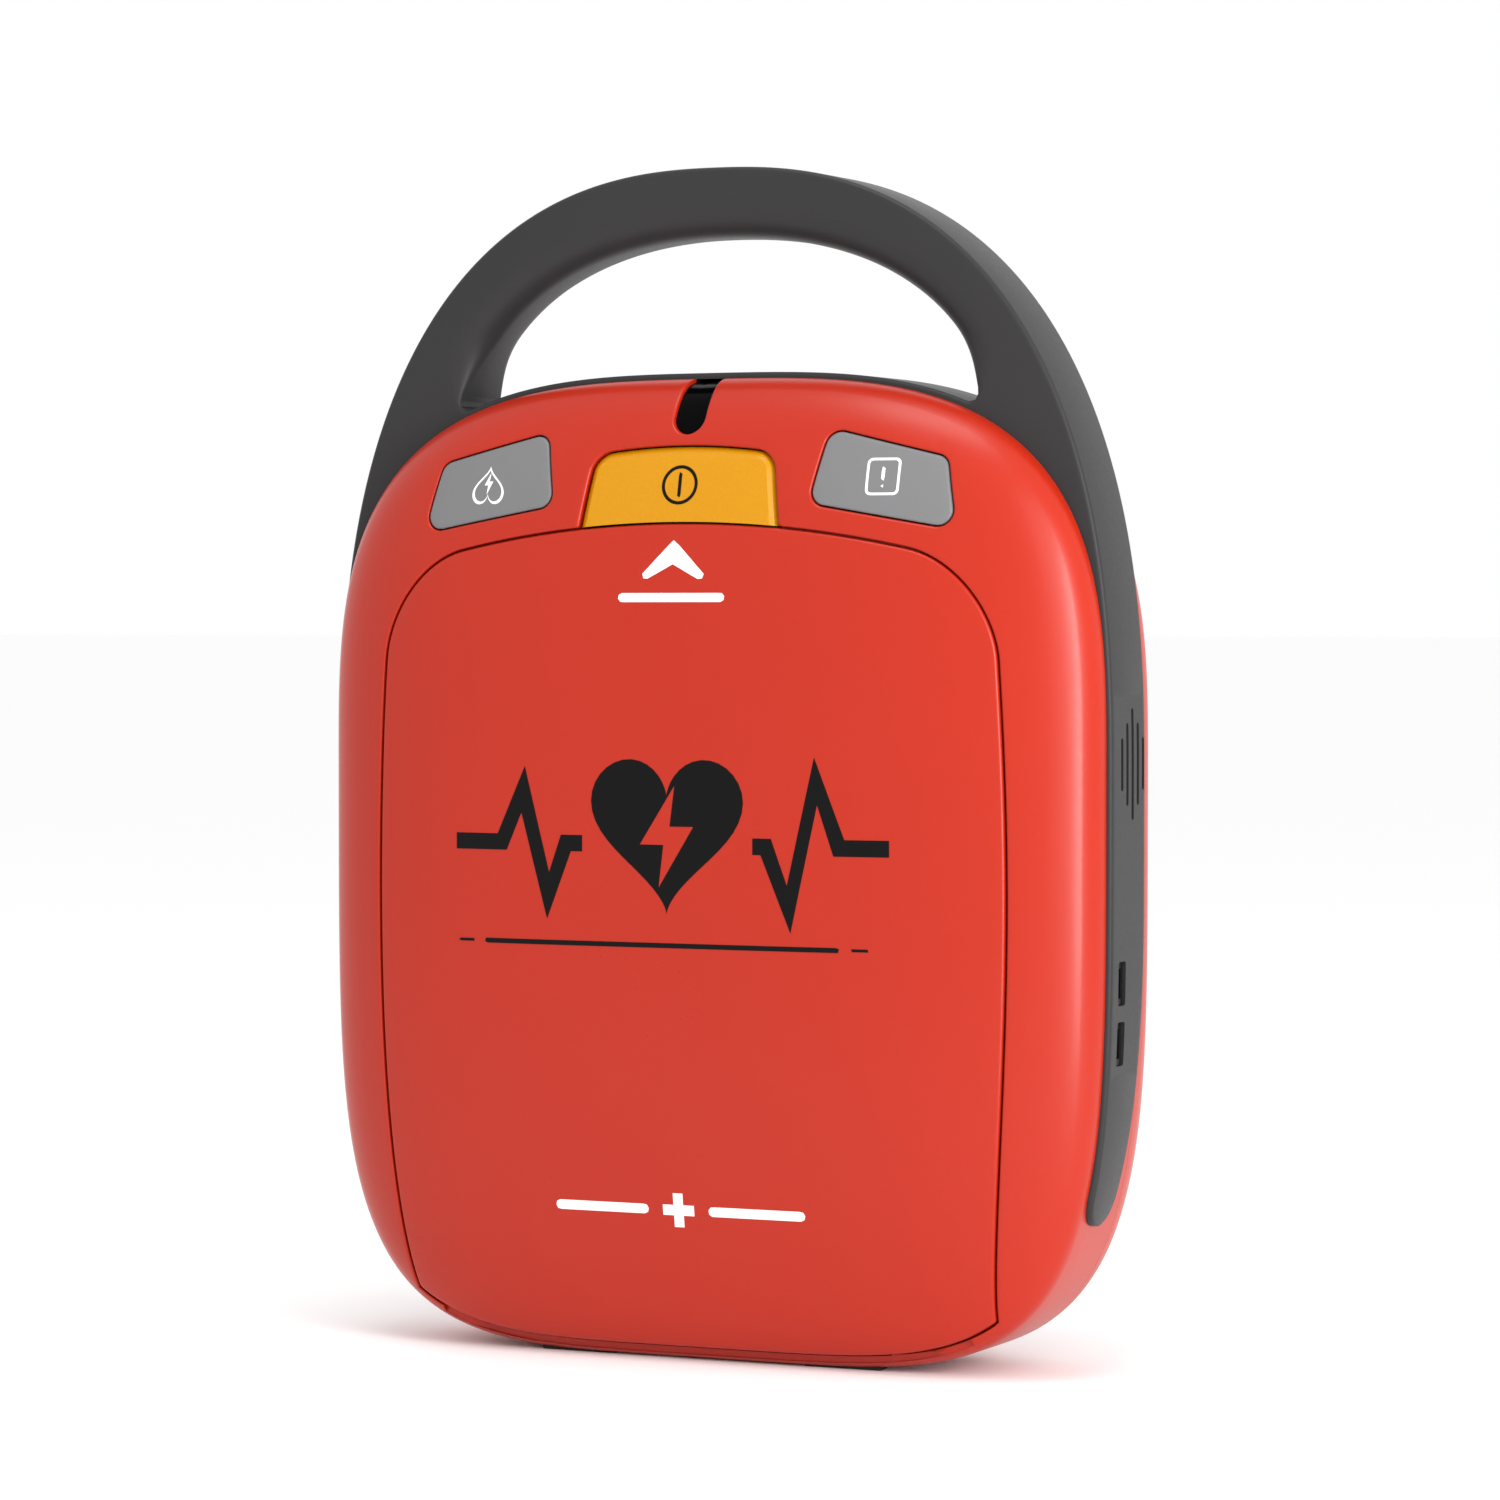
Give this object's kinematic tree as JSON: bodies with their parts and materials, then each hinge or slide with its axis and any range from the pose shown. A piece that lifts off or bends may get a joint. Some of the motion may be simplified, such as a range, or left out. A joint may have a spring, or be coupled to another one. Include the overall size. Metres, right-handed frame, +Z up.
{
  "type": "defibrillator",
  "caption": "Upright portable defibrillator: crowned two-part case, arched carrying handle band, hinged front lid over the electrode bay, press buttons and a removable battery pack.",
  "frame": {"origin": "centre of the object's box on the surface it stands on", "axes": "+Z up through the handle, the lid and buttons face -Y, +X to the right of a person facing the lid"},
  "size_m": [0.2108, 0.0746, 0.294],
  "materials": {
    "red_case": "semi-gloss moulded polycarbonate blend with a fine satin grain",
    "charcoal_band": "satin moulded nylon, fine spark texture",
    "dark_plastic": "satin moulded plastic",
    "black_plastic": "satin black plastic",
    "lens": "polished smoked window",
    "yellow_button": "glossy moulded plastic",
    "grey_button": "satin grey plastic with printed symbol",
    "rubber": "matt silicone rubber",
    "steel": "zinc plated steel",
    "aluminium": "extruded, as cut",
    "copper_winding": "ferrite core with taped winding",
    "circuit_board": "solder mask",
    "white_plastic": "satin white plastic",
    "ribbon": "flat ribbon",
    "foil": "laminated foil pouch, soft sheen",
    "cell_sleeve": "shrink sleeve",
    "gold": "gold plated contact"
  },
  "bodies": {
    "case": {"front_case": "red_case", "rear_case": "red_case", "handle_band": "charcoal_band", "case_gasket": "rubber", "case_screws": "steel", "hinge_blocks": "red_case", "hinge_pins": "steel", "case_magnets": "steel", "power_button_spring": "steel", "tact_switches": "black_plastic", "button_board": "circuit_board", "status_lens": "lens", "status_led": "white_plastic", "pads_tray": "dark_plastic", "pads_pouch": "foil", "pads_socket": "black_plastic", "mid_frame": "white_plastic", "main_board": "circuit_board", "hv_board": "circuit_board", "board_screws": "steel", "board_chips": "black_plastic", "ribbon_cable": "ribbon", "energy_capacitor": "black_plastic", "capacitor_clamps": "steel", "hv_transformer": "copper_winding", "output_relays": "black_plastic", "heat_sink": "aluminium", "power_transistors": "black_plastic", "speaker": "dark_plastic", "speaker_gasket": "rubber", "data_port_plug": "black_plastic", "service_port_plug": "black_plastic", "port_board": "circuit_board", "battery_socket": "black_plastic", "label_plate": "white_plastic", "rear_pads": "rubber", "base_feet": "rubber"},
    "lid": {"lid": "red_case", "lid_knuckles": "red_case", "lid_keepers": "steel", "lid_gasket": "rubber"},
    "power_button": {"power_button": "yellow_button"},
    "shock_button": {"shock_button": "grey_button"},
    "info_button": {"info_button": "grey_button"},
    "battery": {"battery_housing": "dark_plastic", "battery_cover": "dark_plastic", "battery_cells": "cell_sleeve", "battery_contacts": "gold", "battery_pads": "rubber", "latch_spring": "steel"},
    "battery_latch": {"battery_latch": "black_plastic"}
  },
  "joints": [
    {"name": "lid_hinge", "type": "hinge", "parent": "case", "child": "lid", "pos_m": [0, -0.0198, 0.007], "axis": [1, 0, 0], "range_deg": [0, 90]},
    {"name": "power_press", "type": "slide", "parent": "case", "child": "power_button", "axis": [0, 1, 0], "range_m": [0, 0.0012], "stiffness_N_per_m": 300, "deforming": ["power_button_spring"]},
    {"name": "shock_press", "type": "slide", "parent": "case", "child": "shock_button", "axis": [0, 1, 0], "range_m": [0, 0.001], "stiffness_N_per_m": 300},
    {"name": "info_press", "type": "slide", "parent": "case", "child": "info_button", "axis": [0, 1, 0], "range_m": [0, 0.001], "stiffness_N_per_m": 300},
    {"name": "battery_slide", "type": "slide", "parent": "case", "child": "battery", "axis": [0, 1, 0], "range_m": [0, 0.032]},
    {"name": "latch_press", "type": "slide", "parent": "battery", "child": "battery_latch", "axis": [0, 0, -1], "range_m": [0, 0.0025], "stiffness_N_per_m": 300, "deforming": ["latch_spring"]}
  ]
}
